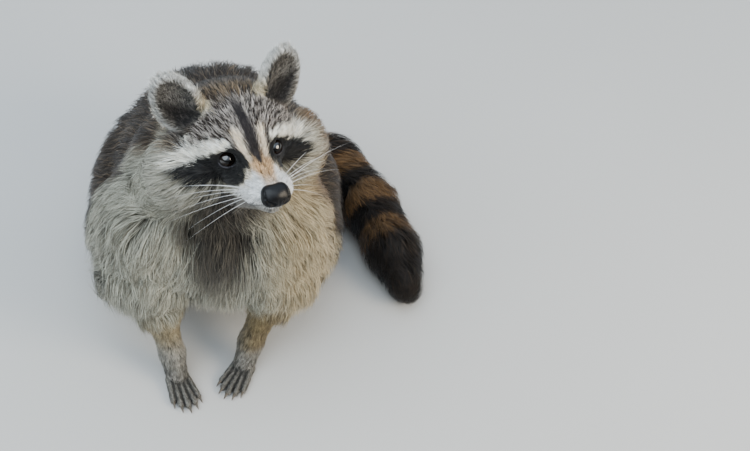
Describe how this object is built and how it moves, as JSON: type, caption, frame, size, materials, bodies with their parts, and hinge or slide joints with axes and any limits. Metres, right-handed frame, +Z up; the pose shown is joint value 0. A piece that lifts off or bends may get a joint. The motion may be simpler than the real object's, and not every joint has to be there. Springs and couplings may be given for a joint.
{
  "type": "raccoon, life-size still model",
  "caption": "Sitting raccoon with straight forelegs, head raised and turned to its left, ringed tail curled forward on the floor.",
  "frame": {"origin": "on the floor, under the middle of the whole animal's box", "axes": "+X to the animal's left, +Y to its rear, +Z up"},
  "size_m": [0.346, 0.381, 0.3653],
  "materials": {
    "fur_body": "long grizzled grey-brown guard hair over woolly underfur",
    "fur_head": "short fur, black mask, cream brows and muzzle",
    "fur_feet": "very short pale grey fur",
    "fur_tail": "bushy fur with dark and rusty rings",
    "eye_wet": "wet, very dark brown",
    "nose_leather": "moist pebbled black skin",
    "claw_horn": "smooth horn, paler at the point"
  },
  "bodies": {
    "root": {"ear_right": "fur_head", "eye_right": "eye_wet", "ear_left": "fur_head", "eye_left": "eye_wet", "nose": "nose_leather", "head": "fur_head", "neck": "fur_body", "forepaw_right_claw_1": "claw_horn", "forepaw_right_claw_2": "claw_horn", "forepaw_right_claw_3": "claw_horn", "forepaw_right_claw_4": "claw_horn", "forepaw_right_claw_5": "claw_horn", "forepaw_right": "fur_feet", "foreleg_right_lower": "fur_body", "foreleg_right_upper": "fur_body", "hindfoot_right_claw_1": "claw_horn", "hindfoot_right_claw_2": "claw_horn", "hindfoot_right_claw_3": "claw_horn", "hindfoot_right_claw_4": "claw_horn", "hindfoot_right_claw_5": "claw_horn", "hindfoot_right": "fur_feet", "hindleg_right_shank": "fur_body", "hindleg_right_thigh": "fur_body", "forepaw_left_claw_1": "claw_horn", "forepaw_left_claw_2": "claw_horn", "forepaw_left_claw_3": "claw_horn", "forepaw_left_claw_4": "claw_horn", "forepaw_left_claw_5": "claw_horn", "forepaw_left": "fur_feet", "foreleg_left_lower": "fur_body", "foreleg_left_upper": "fur_body", "hindfoot_left_claw_1": "claw_horn", "hindfoot_left_claw_2": "claw_horn", "hindfoot_left_claw_3": "claw_horn", "hindfoot_left_claw_4": "claw_horn", "hindfoot_left_claw_5": "claw_horn", "hindfoot_left": "fur_feet", "hindleg_left_shank": "fur_body", "hindleg_left_thigh": "fur_body", "trunk": "fur_body", "tail_base": "fur_tail", "tail_middle": "fur_tail", "tail_tip": "fur_tail"}
  },
  "joints": []
}
